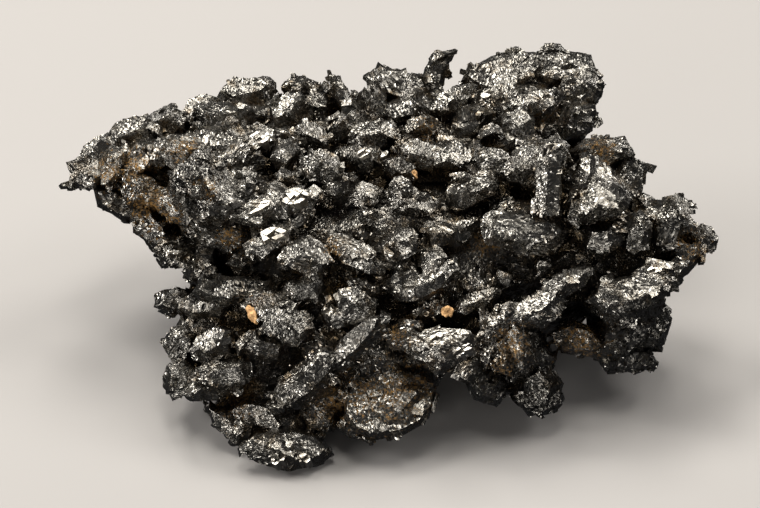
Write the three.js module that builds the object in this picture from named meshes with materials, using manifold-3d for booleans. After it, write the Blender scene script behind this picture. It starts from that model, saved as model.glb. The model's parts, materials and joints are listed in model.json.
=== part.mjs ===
// A hand specimen of stephanite: thick, rounded tabular crystals grown together in one mass that
// leans back over a broken-off base, with three loose-set grains of ochre lodged in its pockets.
// Millimetres and degrees, +Z up, the origin under the middle of the specimen on its resting face.
import * as THREE from 'three';
import { ConvexGeometry } from 'three/addons/geometries/ConvexGeometry.js';
import { mergeVertices } from 'three/addons/utils/BufferGeometryUtils.js';
import Module from 'manifold-3d';

const wasm = await Module();
wasm.setup();

// ---------------------------------------------------------------- driving dimensions
const slopeAngle = 48; // the crystal face leans back this far from level
const slopeHeight = 17.6; // the slope's own origin stands this far above the resting face
const largeLength = 7.2; // crystals longer than this have eight corners, the others six
const rimHeight = -0.05; // the widest ring stands this share of the thickness above the middle
const faceInset = 0.42; // the flat face stops this share of the half-width inside the rim
const rootReach = 2.4; // how far a crystal's root runs back into the mass that it grows from
const pocketGap = 0.3; // clearance between an ochre grain and the pocket that it sits in
const cutterSize = 200; // side of the block that trims the mass flat at the resting face

// Each row is one crystal on the slope: across, up and out of the slope for its middle, its
// length, width and thickness, then roll in the slope, tilt of its face towards the top of the
// slope, and yaw about its short axis.
const leftWing = [
  [-29.9, 8.4, -8, 5.0, 3.4, 2.4, -25, 35, 8],
  [-28.6, 10.4, -9, 5.6, 3.4, 2.6, 38, 49, -2],
  [-25.6, 12.0, -10, 6.6, 4.2, 3.0, 25, 46, 0],
  [-22.4, 13.2, -12, 6.2, 4.0, 3.0, 5, 51, -22],
  [-24.8, 9.2, -6.3, 4.6, 2.4, 2.0, 82, 0, 6],
  [-27.0, 9.0, -7.5, 5.0, 3.6, 2.6, 60, -2, -24],
  [-22.6, 9.8, -7, 5.4, 3.4, 2.4, 40, 41, -10],
  [-19.4, 10.5, -6, 5.2, 3.6, 2.0, 8, 42, 16],
  [-23.8, 6.2, -6.5, 6.5, 4.8, 3.2, -30, 18, 16],
  [-26.6, 5.2, -9, 6.4, 3.6, 3.2, -33, -4, 0],
  [-23.0, 2.8, -7, 6.6, 3.8, 3.2, -40, -15, -8],
  [-20.4, 0.4, -6, 5.6, 3.4, 3.2, -48, -15, 8],
  [-20.3, 5.0, -5, 6.4, 4.4, 3.0, -65, -8, 7],
];
const foldedBlock = [
  [-16.8, 6.2, -1.2, 9.6, 6.0, 5.0, -38, 34, 8],
  [-17.2, 8.4, -0.8, 5.0, 3.4, 2.6, 12, 51, 0],
  [-11.9, 4.7, 0.4, 7.0, 3.4, 1.5, 22, 18, -6],
  [-8.8, 5.3, 0.4, 5.4, 3.4, 1.6, 17, 30, 8],
  [-9.8, 3.2, 0.0, 6.8, 3.0, 1.2, 16, 38, -8],
  [-11.0, 1.3, 0.6, 5.2, 3.2, 1.6, 16, 36, -6],
  [-12.0, 6.5, -0.6, 5.8, 3.0, 1.4, -12, 18, 24],
  [-13.6, 9.4, -5, 5.0, 4.0, 3.0, 20, 44, -24],
  [-11.7, 11.3, -5.2, 4.6, 3.4, 2.4, 30, 32, 0],
  [-9.6, 9.9, -3.8, 4.2, 3.6, 3.0, 60, 10, -24],
  [-8.9, 7.2, -2.4, 4.6, 3.0, 2.0, -30, 48, 0],
  [-17.8, -0.9, -5, 4.4, 3.4, 3.0, 60, -8, -8],
];
const backLeftCrest = [
  [-14.0, 16.6, -17, 7.1, 4.6, 2.6, 8, 41, 0],
  [-18.4, 14.9, -15, 4.8, 3.6, 2.6, 25, 38, -8],
  [-16.0, 13.4, -13, 7.6, 5.0, 4.0, -5, 58, -10],
  [-14.4, 11.9, -9.4, 4.8, 3.4, 2.4, -10, 38, 16],
  [-9.3, 14.4, -12, 5.6, 4.6, 3.6, 70, 31, 24],
  [-7.8, 16.8, -18.2, 5.6, 3.8, 1.8, -12, 12, 8],
  [-6.0, 14.6, -15, 5.0, 3.0, 2.4, 80, 18, 0],
  [-4.0, 16.2, -14.5, 4.9, 2.3, 1.6, -72, -14, 11],
  [-2.0, 15.3, -13.5, 4.0, 1.6, 1.2, -55, -16, 4],
  [-3.6, 12.8, -10, 5.2, 3.6, 3.0, 10, 51, -24],
  [-7.2, 11.7, -9, 5.2, 3.8, 3.0, -20, 44, 8],
];
const backCrest = [
  [1.7, 17.2, -15, 7.8, 4.9, 2.8, -10, 18, 16],
  [2.1, 14.6, -13, 5.0, 3.0, 2.4, 15, 11, 0],
  [5.8, 18.5, -17.6, 4.6, 2.8, 1.8, 80, 8, 0],
  [7.5, 15.8, -14, 5.8, 2.8, 2.0, 35, 44, 0],
  [4.1, 12.9, -11.2, 4.6, 2.8, 2.0, 10, 39, -24],
  [9.2, 13.2, -13, 6.4, 4.4, 3.2, 30, 6, -8],
  [13.2, 18.6, -16, 9.6, 5.2, 2.8, 7, 17, -8],
  [18.6, 19.1, -16, 8.4, 5.0, 2.6, -2, 17, 0],
  [20.5, 16.6, -14, 6.2, 4.2, 3.0, 22, -6, -8],
  [20.0, 13.8, -12.5, 5.0, 4.0, 3.6, 62, -16, 8],
  [15.8, 15.3, -10, 6.6, 3.4, 2.2, 18, 45, 2],
  [14.0, 12.4, -8, 5.2, 4.4, 3.0, 80, 29, -16],
  [12.2, 10.9, -7, 4.6, 3.2, 2.6, -20, 56, -16],
];
const upperMiddle = [
  [-0.8, 11.7, -8.2, 6.2, 4.2, 3.0, -5, 48, -14],
  [-2.2, 9.4, -4.8, 5.0, 3.2, 2.8, 15, 38, 24],
  [2.0, 8.4, -4.6, 4.8, 3.0, 2.8, -20, 22, 16],
  [4.3, 9.8, -6, 6.8, 4.0, 2.6, -8, 40, 8],
  [-5.8, 8.6, -2, 5.2, 4.2, 3.4, -25, 39, 2],
  [-3.9, 6.9, -1.8, 4.4, 2.6, 2.0, 35, 46, 24],
  [-1.4, 5.8, -3.5, 5.2, 3.0, 2.4, -15, 36, 8],
  [3.1, 4.9, -2.4, 6.4, 3.8, 3.4, -16, 28, 16],
  [7.4, 9.8, -4, 4.2, 3.4, 2.4, 50, 22, 10],
  [9.2, 6.3, -3, 6.8, 4.4, 3.4, 18, 44, -10],
  [11.3, 9.2, -3, 4.6, 3.4, 2.4, 10, 48, 18],
  [14.0, 8.3, -3, 4.8, 3.6, 2.6, 5, 46, 18],
  [17.1, 9.0, -0.2, 6.2, 3.5, 3.0, 78, 24, -10],
  [18.0, 4.9, -4, 4.4, 3.6, 3.0, 60, -8, 0],
];
const rightShoulder = [
  [22.6, 10.1, -5.5, 7.0, 4.4, 3.0, 3, -2, -16],
  [25.4, 7.3, -6, 6.0, 3.4, 3.2, 85, -13, 6],
  [20.3, 7.2, 0.0, 6.6, 3.2, 2.2, 66, 30, 4],
  [22.2, 5.3, 0.6, 5.6, 3.4, 2.4, 0, 25, -18],
  [14.4, 2.3, 0.5, 9.2, 5.0, 2.8, -3, 14, 6],
  [22.2, 1.6, -0.5, 4.8, 4.0, 3.0, -20, 46, -16],
  [25.7, 1.9, -1, 5.0, 3.6, 3.0, 80, -1, -24],
  [28.9, 2.4, -3, 6.6, 3.6, 3.0, 75, -6, -24],
  [29.7, 4.8, -3.5, 3.2, 1.6, 1.4, 62, -16, 22],
  [31.8, 1.4, -6, 4.2, 3.6, 3.0, 15, -2, -24],
  [30.4, -0.8, -3.8, 6.0, 3.2, 2.6, 50, 10, 6],
];
const rightBlades = [
  [27.5, -1.8, -0.2, 4.8, 2.8, 1.4, 10, 28, 24],
  [25.2, -3.7, 0.6, 9.6, 4.2, 1.8, 15, 20, 0],
  [23.0, -1.0, -4, 5.0, 3.4, 2.6, 15, -4, 8],
  [25.0, -7.6, -7, 9.0, 6.4, 5.0, 50, -4, 0],
  [27.4, -7.0, -8, 7.0, 4.8, 4.0, 75, 1, 0],
  [25.2, -10.7, -7.5, 6.4, 3.4, 3.4, -3, 0, 8],
  [20.2, -8.6, -6, 6.8, 4.0, 3.4, -10, -2, -12],
  [17.7, -0.8, -1.9, 5.0, 2.8, 1.6, 27, 46, -6],
  [18.2, -3.1, 0.8, 7.0, 3.2, 1.8, 24, 20, -12],
  [15.3, -5.7, 1.0, 7.0, 3.6, 2.6, 12, 32, -16],
  [10.3, -3.0, -2, 5.8, 4.0, 3.0, 8, 9, -24],
  [9.8, -4.8, 0, 5.8, 2.4, 1.6, 25, 44, 4],
  [11.7, -6.8, 1, 6.4, 2.8, 2.0, 42, 38, -8],
  [14.0, -9.1, 0, 6.6, 2.6, 2.4, -83, -16, 14],
];
const middleBlades = [
  [2.2, 0.9, 0.8, 4.8, 3.6, 3.0, 62, -12, 23],
  [5.1, -0.8, 0.4, 4.8, 3.4, 2.0, -45, -14, -24],
  [4.5, -3.1, 1, 7.0, 2.8, 2.0, 27, 44, 2],
  [7.0, 1.8, -1, 6.8, 3.0, 2.4, 33, 50, 24],
  [-2.5, -0.1, 0.8, 7.4, 3.2, 2.4, -35, 42, -6],
  [-7.2, -0.4, 1.2, 5.8, 4.8, 3.6, -20, 36, 16],
  [-1.4, -3.4, 0.5, 5.0, 2.6, 1.8, -8, 38, 16],
  [2.0, -2.4, 0.2, 4.6, 3.8, 2.6, 20, 7, 16],
  [-7.5, -3.6, 0.8, 5.2, 3.0, 2.6, 10, 52, 0],
  [-3.0, -5.8, 1, 6.8, 3.6, 2.8, 8, 42, -16],
];
const lowerLeftLobe = [
  [-14.5, -3.7, -0.8, 9.8, 3.6, 2.6, 4, 10, 16],
  [-11.6, -4.6, 0, 5.2, 4.0, 2.4, 15, -9, -24],
  [-17.6, -5.3, -2, 5.8, 3.4, 2.4, -5, 10, -24],
  [-9.2, -7.1, 1, 6.6, 4.6, 3.6, -15, 36, 18],
  [-11.8, -9.1, 0, 5.4, 3.2, 2.8, 0, 44, 24],
  [-16.6, -9.0, -1.2, 6.2, 4.2, 2.8, 20, 26, -24],
  [-20.5, -9.0, -5, 4.2, 3.0, 2.8, 70, 2, -24],
  [-20.2, -12.4, -5.5, 5.4, 3.8, 3.6, 80, -3, -24],
  [-15.6, -11.9, -1.2, 7.0, 3.6, 2.8, 8, 48, 0],
  [-17.7, -13.7, -3, 5.6, 3.0, 2.8, -3, -14, 24],
  [-20.6, -4.8, -7.5, 5.6, 3.2, 3.0, 15, 2, 16],
  [-9.3, -19.5, -2, 9.6, 4.8, 2.6, -2, 14, 8],
  [-15.2, -17.3, -4, 6.2, 2.8, 2.6, -50, -16, 8],
  [-11.9, -16.2, -4.5, 7.2, 4.4, 4.0, -15, -9, -14],
  [-6.0, -15.9, -4, 6.0, 4.2, 3.4, 60, -4, 0],
];
const lowerBlades = [
  [-2.6, -9.0, 1.3, 9.0, 3.2, 2.2, 37, 20, -16],
  [-7.5, -12.4, 0.9, 8.4, 3.8, 2.6, 29, 50, -16],
  [0.2, -15.6, -2.6, 10.6, 5.2, 2.8, 19, 14, -16],
  [-2.8, -12.9, -3, 5.2, 2.4, 1.2, 30, 58, -24],
  [6.0, -9.2, 1, 8.8, 4.4, 3.0, -8, 42, -16],
  [2.4, -8.0, 0.2, 4.6, 3.4, 2.8, 30, 44, -18],
  [4.8, -5.8, -1, 5.4, 3.4, 3.0, 5, 10, 24],
  [10.8, -13.1, -5, 5.6, 4.4, 3.8, -62, 8, 8],
  [16.1, -14.0, -5, 5.8, 5.0, 4.0, 75, 11, 0],
  [12.2, -9.7, -0.6, 5.2, 4.2, 3.4, -70, 26, 6],
  [8.8, -11.0, -2.2, 5.0, 3.4, 3.0, -10, 39, -24],
];
const slopeCrystals = [
  leftWing, foldedBlock, backLeftCrest, backCrest, upperMiddle, rightShoulder,
  rightBlades, middleBlades, lowerLeftLobe, lowerBlades,
].flat();

// The massive stephanite right under the crystals, as rounded lumps: across, up and out of the
// slope for the middle, then the half-sizes along the same three axes.
const slopeLumps = [
  [3, -1, -6.5, 22, 10, 6], // under the middle blades
  [4, 7, -10.2, 17.5, 5.5, 4.6], // the upper middle
  [4, 11, -16, 15, 4.4, 5], // behind it
  [14.5, 14, -17.2, 9.5, 5.4, 5.6], // back crest, right
  [4.2, 13, -17, 4.8, 5, 5], // back crest, middle
  [-13, 12, -17.5, 9, 5, 4.8], // back crest, left
  [-14, 9, -11, 10, 5, 5], // before the back crest, left
  [-23.5, 8.5, -11.2, 8, 4.8, 5], // left wing
  [-14, 4.5, -6.5, 8.6, 7, 4.4], // the folded block
  [-20.6, 2.2, -9.6, 3.6, 4.4, 3.2], // beside its foot
  [23.5, 0.8, -7.5, 7.6, 6, 5.4], // right shoulder
  [21.5, 6.2, -5.8, 4.6, 4.2, 4.8], // above the right shoulder
  [16.5, 8.3, -5, 4, 4, 3.8], // left of that
  [28.4, 2.6, -5.6, 4.4, 3.4, 3.2], // right tip
  [14.4, 3, -3.2, 5.5, 3.2, 3.4], // under the widest blade
  [25, -4.6, -3.6, 4.4, 2.8, 3.2], // under the right blade
  [25, -5.5, -9.5, 5, 5.6, 5], // right foot
  [13.3, -10.6, -7.5, 5.5, 4.4, 4.4], // under the right blades
  [0, -9.5, -5.4, 10, 5.4, 4.4], // under the lower blades
  [0.5, -13.2, -8.2, 6, 3.8, 4.2], // under the lowest blade
  [-13.5, -8, -6.8, 8.2, 7.6, 5.4], // lower left lobe
  [-11, -16.2, -7.6, 7.6, 4.8, 4.4], // its foot
  [-9.6, -18, -5, 5, 2.6, 3], // and the foot's edge
];

// The body behind them, in the part's own upright axes before the whole is centred: the middle,
// the half-sizes, and how many places on its skin are tried for a crystal of the hidden sides.
const bodyLumps = [
  { middle: [2, 8, 8], half: [22.5, 9.5, 10.5], places: 44 },
  { middle: [1, 18, 14.5], half: [20, 6.5, 4.8], places: 24 },
];
const bodyFacets = 1; // subdivisions of the icosahedron that each body lump is drawn from
const slopeFacets = 0; // and each slope lump
const grainFacets = 0; // and each ochre grain

// Crystals of the sides that face away: how deep they sit in the lump, and their sizes.
const hiddenDepth = 0.94; // share of the lump's half-sizes at which their middles stand
const facesAway = -0.2; // a direction counts as hidden when it leans this far from the slope
const lowestHidden = 2.2; // and when it stands at least this far above the resting face
const hiddenLength = [5.2, 8.4];
const hiddenWidth = [3.6, 5.2];
const hiddenThickness = [2.4, 3.8];

// Grains of ochre: middle on the slope and size along each axis, then roll.
const ochreGrains = [
  { name: 'ochre_grain', middle: [6.7, -5.7, 0.9], size: [1.4, 1.3, 1.3], roll: 10 },
  { name: 'ochre_flake', middle: [-12.7, -6.1, 1.1], size: [2.2, 1.0, 1.0], roll: -62 },
  { name: 'ochre_speck', middle: [3.4, 8.0, -3.9], size: [0.9, 1.1, 0.9], roll: 20 },
];

// ---------------------------------------------------------------- helpers
const radians = THREE.MathUtils.degToRad;

// A repeatable stream of numbers from 0 to 1, so that the specimen is the same on each run.
function seededRandom(seed) {
  let state = seed;
  return () => {
    state = (state * 1664525 + 1013904223) % 4294967296;
    return state / 4294967296;
  };
}

const between = (random, [low, high]) => low + (high - low) * random();

// A tabular crystal about its own middle: a flat pseudo-hexagonal face, a bevel out to the rim
// and a back that tapers to its root, a little uneven as grown crystals are.
function tabularCrystal(length, width, thickness, random) {
  const corners = length > largeLength ? 8 : 6;
  const points = [new THREE.Vector3(0, 0, -0.5 * thickness - rootReach)];
  for (let corner = 0; corner < corners; corner += 1) {
    const turn = ((corner + 0.4 * (random() - 0.5)) / corners) * 2 * Math.PI;
    const reach = 0.92 + 0.16 * random();
    const across = reach * Math.cos(turn);
    const along = reach * Math.sin(turn);
    const inset = 0.5 * width * faceInset;
    points.push(
      new THREE.Vector3(0.5 * length * across, 0.5 * width * along, rimHeight * thickness),
      new THREE.Vector3(
        (0.5 * length - inset) * across, (0.5 * width - inset) * along, 0.5 * thickness,
      ),
    );
  }
  return new ConvexGeometry(points);
}

// A lump: an icosphere stretched to its half-sizes.
function lumpGeometry(half, detail) {
  return new THREE.IcosahedronGeometry(1, detail).scale(...half);
}

// The closed solid of a placed mesh, for cutting and joining.
function solidOf(mesh) {
  mesh.updateWorldMatrix(true, false);
  const geometry = mesh.geometry.clone().applyMatrix4(mesh.matrixWorld);
  geometry.deleteAttribute('normal');
  geometry.deleteAttribute('uv');
  const merged = mergeVertices(geometry, 1e-4);
  return new wasm.Manifold(new wasm.Mesh({
    numProp: 3,
    vertProperties: new Float32Array(merged.attributes.position.array),
    triVerts: new Uint32Array(merged.index.array),
  }));
}

// A solid back as a flat-shaded three.js geometry.
function geometryOf(solid) {
  const { vertProperties, triVerts, numProp } = solid.getMesh();
  const geometry = new THREE.BufferGeometry();
  geometry.setAttribute('position', new THREE.BufferAttribute(
    numProp === 3 ? vertProperties : vertProperties.filter((_, i) => i % numProp < 3), 3,
  ));
  geometry.setIndex(new THREE.BufferAttribute(triVerts, 1));
  return geometry;
}

// ---------------------------------------------------------------- the crystal-covered slope
const slope = new THREE.Group();
slope.rotation.x = radians(slopeAngle);
slope.position.z = slopeHeight;
slope.updateMatrixWorld(true);

function placeOnSlope(geometry, [across, up, out], [roll, tilt, yaw]) {
  const mesh = new THREE.Mesh(geometry);
  mesh.position.set(across, up, out);
  mesh.rotation.set(-radians(tilt), radians(yaw), radians(roll), 'ZXY');
  slope.add(mesh);
  return mesh;
}

const crystalMeshes = slopeCrystals.map((row, index) => {
  const [across, up, out, length, width, thickness, roll, tilt, yaw] = row;
  const random = seededRandom(101 + index);
  const geometry = tabularCrystal(length, width, thickness, random);
  return placeOnSlope(geometry, [across, up, out], [roll, tilt, yaw]);
});

// ---------------------------------------------------------------- lumps and the hidden sides
const slopeLumpMeshes = slopeLumps.map(([across, up, out, ...half]) =>
  placeOnSlope(lumpGeometry(half, slopeFacets), [across, up, out], [0, 0, 0]));

const bodyMeshes = bodyLumps.map(({ middle: centre, half }) => {
  const mesh = new THREE.Mesh(lumpGeometry(half, bodyFacets));
  mesh.position.set(...centre);
  return mesh;
});

const outOfSlope = new THREE.Vector3(0, 0, 1).applyQuaternion(slope.quaternion);
const goldenTurn = Math.PI * (3 - Math.sqrt(5));

// Spreads crystals over the part of a lump that looks away from the slope, lying on its skin.
function hiddenCrystals({ middle: centre, half, places }, seed) {
  const random = seededRandom(seed);
  const radii = new THREE.Vector3(...half);
  const faceUp = new THREE.Vector3(0, 0, 1);
  const meshes = [];
  for (let place = 0; place < places; place += 1) {
    const height = 1 - (2 * (place + 0.5)) / places;
    const ring = Math.sqrt(1 - height * height);
    const turn = place * goldenTurn;
    const direction = new THREE.Vector3(ring * Math.cos(turn), ring * Math.sin(turn), height);
    const normal = direction.clone().divide(radii).normalize();
    const spot = direction.multiply(radii).multiplyScalar(hiddenDepth);
    spot.add(new THREE.Vector3(...centre));
    const crystal = new THREE.Mesh(tabularCrystal(
      between(random, hiddenLength),
      between(random, hiddenWidth),
      between(random, hiddenThickness),
      random,
    ));
    const lean = new THREE.Vector3(random() - 0.5, random() - 0.5, random() - 0.5);
    const spin = new THREE.Quaternion().setFromAxisAngle(faceUp, random() * Math.PI);
    crystal.position.copy(spot);
    crystal.quaternion.setFromUnitVectors(faceUp, normal.clone().add(lean).normalize());
    crystal.quaternion.multiply(spin);
    if (normal.dot(outOfSlope) < facesAway && spot.z > lowestHidden) meshes.push(crystal);
  }
  return meshes;
}

const hiddenMeshes = bodyLumps.flatMap((lump, index) => hiddenCrystals(lump, 701 + index));

// ---------------------------------------------------------------- ochre grains
const grainMeshes = ochreGrains.map(({ middle, size, roll }, index) => {
  const random = seededRandom(501 + index);
  const geometry = lumpGeometry(size.map((side) => side / 2), grainFacets);
  const uneven = geometry.attributes.position;
  const corners = new Map();
  for (let i = 0; i < uneven.count; i += 1) {
    const key = [uneven.getX(i), uneven.getY(i), uneven.getZ(i)].map((c) => c.toFixed(3)).join();
    if (!corners.has(key)) corners.set(key, 0.86 + 0.28 * random());
    const reach = corners.get(key);
    uneven.setXYZ(i, uneven.getX(i) * reach, uneven.getY(i) * reach, uneven.getZ(i) * reach);
  }
  return placeOnSlope(geometry, middle, [roll, 0, 0]);
});

// Each grain's pocket is the grain's own form, larger by the gap on every side.
const pocketMeshes = ochreGrains.map(({ middle, size, roll }, index) => {
  const geometry = grainMeshes[index].geometry.clone();
  geometry.scale(...size.map((side) => (side + 2 * pocketGap) / side));
  return placeOnSlope(geometry, middle, [roll, 0, 0]);
});

// ---------------------------------------------------------------- one mass, cut at its base
const joinAll = (meshes) => meshes.map(solidOf).reduce((whole, piece) => whole.add(piece));
const ground = new THREE.Mesh(new THREE.BoxGeometry(cutterSize, cutterSize, cutterSize));
ground.position.z = -cutterSize / 2;

const mass = joinAll([...bodyMeshes, ...slopeLumpMeshes, ...crystalMeshes, ...hiddenMeshes])
  .subtract(solidOf(ground))
  .subtract(joinAll(pocketMeshes));

const stephanite = new THREE.MeshStandardMaterial({
  color: 0x2b2a2c, roughness: 0.38, metalness: 0.9, flatShading: true,
});
const ochre = new THREE.MeshStandardMaterial({
  color: 0xc98a45, roughness: 0.85, metalness: 0, flatShading: true,
});

const specimen = new THREE.Group();
const cluster = new THREE.Mesh(geometryOf(mass), stephanite);
cluster.name = 'stephanite_cluster';
specimen.add(cluster);
ochreGrains.forEach(({ name }, index) => {
  const grain = new THREE.Mesh(geometryOf(solidOf(grainMeshes[index])), ochre);
  grain.name = name;
  specimen.add(grain);
});

// The origin goes under the middle of the specimen.
cluster.geometry.computeBoundingBox();
const centre = cluster.geometry.boundingBox.getCenter(new THREE.Vector3());
specimen.position.set(-centre.x, -centre.y, 0);

export default specimen;
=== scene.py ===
import json
import math

import bmesh
import bpy
from mathutils import Euler, Matrix, Vector

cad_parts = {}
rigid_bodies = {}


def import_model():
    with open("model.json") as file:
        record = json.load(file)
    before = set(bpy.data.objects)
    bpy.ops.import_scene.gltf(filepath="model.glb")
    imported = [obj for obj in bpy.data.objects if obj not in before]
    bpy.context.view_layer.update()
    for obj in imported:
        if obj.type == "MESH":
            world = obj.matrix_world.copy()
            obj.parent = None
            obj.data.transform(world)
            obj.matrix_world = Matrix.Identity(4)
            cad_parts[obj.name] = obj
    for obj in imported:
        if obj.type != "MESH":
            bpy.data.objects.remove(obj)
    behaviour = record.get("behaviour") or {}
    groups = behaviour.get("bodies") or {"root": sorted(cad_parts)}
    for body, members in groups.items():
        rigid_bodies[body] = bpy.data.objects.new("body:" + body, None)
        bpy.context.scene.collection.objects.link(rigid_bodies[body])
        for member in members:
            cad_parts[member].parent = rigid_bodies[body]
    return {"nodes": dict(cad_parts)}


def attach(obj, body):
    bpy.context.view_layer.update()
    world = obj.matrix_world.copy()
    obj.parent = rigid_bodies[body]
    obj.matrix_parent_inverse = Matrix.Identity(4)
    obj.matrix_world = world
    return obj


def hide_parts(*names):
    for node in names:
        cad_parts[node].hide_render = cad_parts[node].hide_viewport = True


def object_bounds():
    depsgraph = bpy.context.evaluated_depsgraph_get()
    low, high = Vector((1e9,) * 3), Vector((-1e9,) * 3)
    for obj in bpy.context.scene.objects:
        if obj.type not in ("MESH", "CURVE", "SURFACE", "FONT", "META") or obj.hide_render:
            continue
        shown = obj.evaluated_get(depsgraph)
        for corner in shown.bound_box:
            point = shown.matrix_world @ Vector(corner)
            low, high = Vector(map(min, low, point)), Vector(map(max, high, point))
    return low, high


# %% Load the solid frame
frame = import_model()
solid_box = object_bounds()
MM = 0.001
print("solid box in mm:", [[round(c / MM, 2) for c in corner] for corner in solid_box])

# %% [markdown]
# ## The camera
# The specimen is seen from the front and from well above, as it would be on a stand under a
# close-up lens. A long lens a good way off keeps the plates' sizes true from front to back.
# The camera is placed from the direction it looks along, so its distance follows from the
# width that the picture should take in.

# %% Place the camera
ELEVATION = math.radians(42)
LENS, SENSOR, PICTURE_WIDTH = 200, 36, 76 * MM
towards_camera = Vector((0, -math.cos(ELEVATION), math.sin(ELEVATION)))
picture_up = Vector((0, math.sin(ELEVATION), math.cos(ELEVATION)))
picture_right = Vector((1, 0, 0))
looked_at = Vector((-0.92, -7.15, 17.6)) * MM
camera_data = bpy.data.cameras.new("camera")
camera_data.lens, camera_data.sensor_width = LENS, SENSOR
camera_data.clip_start, camera_data.clip_end = 0.01, 20
camera = bpy.data.objects.new("camera", camera_data)
bpy.context.scene.collection.objects.link(camera)
turn = Matrix((picture_right, picture_up, towards_camera)).transposed()
camera.matrix_world = Matrix.Translation(
    looked_at + towards_camera * PICTURE_WIDTH * LENS / SENSOR
) @ turn.to_4x4()
bpy.context.scene.camera = camera
print("camera stands", round(camera.location.length, 3), "m from the specimen")

# %% [markdown]
# ## Small helpers
# A finished mesh becomes an object at the origin, and a modifier's result can be frozen into
# plain geometry. Freezing keeps the later steps simple, because each one starts from a mesh
# that is really there.


# %% Make objects and freeze modifiers
def new_object(name, mesh):
    item = bpy.data.objects.new(name, mesh)
    bpy.context.scene.collection.objects.link(item)
    return item


def freeze(item):
    """Turns what the modifiers show into the object's own mesh."""
    shown = item.evaluated_get(bpy.context.evaluated_depsgraph_get())
    mesh = bpy.data.meshes.new_from_object(shown)
    item.modifiers.clear()
    item.data = mesh
    return mesh


def triangles(item):
    return sum(len(face.vertices) - 2 for face in item.data.polygons)


# %% [markdown]
# ## The kinds of crystal
# The crystals that sit on the plates have the same habits as the plates themselves: low
# tablets, stubby blocks, broken chips and short laths. Each kind is one small bmesh shape, made
# of very few faces, because it is repeated thousands of times. The larger tablets have worn,
# rounder rims and a shelf of their own, because only they are grown into the plates.


# %% Make the kinds
def tablet(name, sides, width, thickness, inset):
    """A low plate whose upper rim slopes in."""
    shape = bmesh.new()
    bmesh.ops.create_cone(
        shape,
        cap_ends=True,
        segments=sides,
        radius1=width / 2,
        radius2=width / 2 * inset,
        depth=thickness,
    )
    return kept_shape(name, shape)


def chip(name, seed, sides):
    """A broken block whose corners are pulled about."""
    shape = bmesh.new()
    bmesh.ops.create_cube(shape, size=1.0)
    bmesh.ops.scale(shape, vec=sides, verts=shape.verts)
    for number, corner in enumerate(shape.verts):
        pull = Euler((seed * 1.7 + number, number * 2.3, seed + number * 0.7))
        corner.co += pull.to_matrix() @ Vector((0.2 * sides[2], 0.0, 0.0))
    return kept_shape(name, shape)


def kept_shape(name, shape):
    mesh = bpy.data.meshes.new(name)
    shape.to_mesh(mesh)
    shape.free()
    return bpy.data.objects.new(name, mesh)


def shelf(name, kinds):
    collection = bpy.data.collections.new(name)
    bpy.context.scene.collection.children.link(collection)
    for kind in kinds:
        collection.objects.link(kind)
    print(name, "holds", [kind.name for kind in kinds])
    return collection


tablets = shelf(
    "tablets", [tablet("tablet_flat", 9, 1.0, 0.26, 0.8), tablet("tablet_low", 8, 1.0, 0.4, 0.72)]
)
small_kinds = shelf(
    "small_kinds",
    [
        tablet("small_tablet", 6, 1.0, 0.34, 0.72),
        tablet("small_block", 5, 0.9, 0.6, 0.74),
        chip("chip_a", 1, (0.9, 0.8, 0.6)),
        chip("lath_a", 4, (1.2, 0.6, 0.45)),
        chip("lath_b", 7, (1.4, 0.5, 0.36)),
    ],
)

# %% [markdown]
# ## Node trees in fewer words
# Geometry Nodes do most of the growing here. Two helpers make a tree and add a node to it, and
# they set the node's inputs in the same line. This keeps each tree readable from top to bottom,
# as a recipe would be.


# %% Build node trees with less typing
def geometry_tree(name):
    tree = bpy.data.node_groups.new(name, "GeometryNodeTree")
    tree.interface.new_socket("Skin", in_out="INPUT", socket_type="NodeSocketGeometry")
    tree.interface.new_socket("Result", in_out="OUTPUT", socket_type="NodeSocketGeometry")
    return tree, tree.nodes.new("NodeGroupInput"), tree.nodes.new("NodeGroupOutput")


def add_node(tree, kind, settings=None, **inputs):
    """Adds a node; an input is either a plain value or a socket to link from."""
    node = tree.nodes.new(kind)
    for key, value in (settings or {}).items():
        setattr(node, key, value)
    for key, value in inputs.items():
        socket = node.inputs[int(key[1:]) if key[0] == "_" else key.replace("_", " ")]
        if isinstance(value, bpy.types.NodeSocket):
            tree.links.new(value, socket)
        else:
            socket.default_value = value
    return node


# %% [markdown]
# ## Standing crystals on a skin
# Both the young plates and the fine crops are grown in the same way. Points are scattered over
# the skin, a crystal is stood on each, and it is leaned a little. A particle system would do
# the same, but nodes show each step and leave an ordinary mesh. Crystals that grew together lie
# one way, as wood has a grain, so the cells of a Voronoi pattern give each part of the rock its
# own direction. Few crystals are stood in the hollows, where they grow worst on the rock too.


# %% The direction of the grain
GRAIN_CELLS = 330


def grain_way(tree, place):
    """Returns the direction of the grain, which is the same all over one part of the rock."""
    parts = add_node(tree, "ShaderNodeTexVoronoi", Vector=place, Scale=GRAIN_CELLS)
    return add_node(
        tree,
        "ShaderNodeVectorMath",
        {"operation": "SUBTRACT"},
        _0=parts.outputs["Color"],
        _1=(0.5, 0.5, 0.5),
    ).outputs[0]


# %% Repeatable random values
SOCKETS_OF_KIND = {"FLOAT_VECTOR": (0, 0), "FLOAT": (2, 1), "INT": (4, 2)}


def random_value(tree, kind, low, high, seed):
    """Returns a socket with a random value; the same seed always gives the same values."""
    first, result = SOCKETS_OF_KIND[kind]
    limits = {f"_{first}": low, f"_{first + 1}": high}
    node = add_node(tree, "FunctionNodeRandomValue", {"data_type": kind}, Seed=seed, **limits)
    return node.outputs[result]


# %% Points in the open, none of them on the flat foot
FOOT_MARGIN = 0.35 * MM


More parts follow.
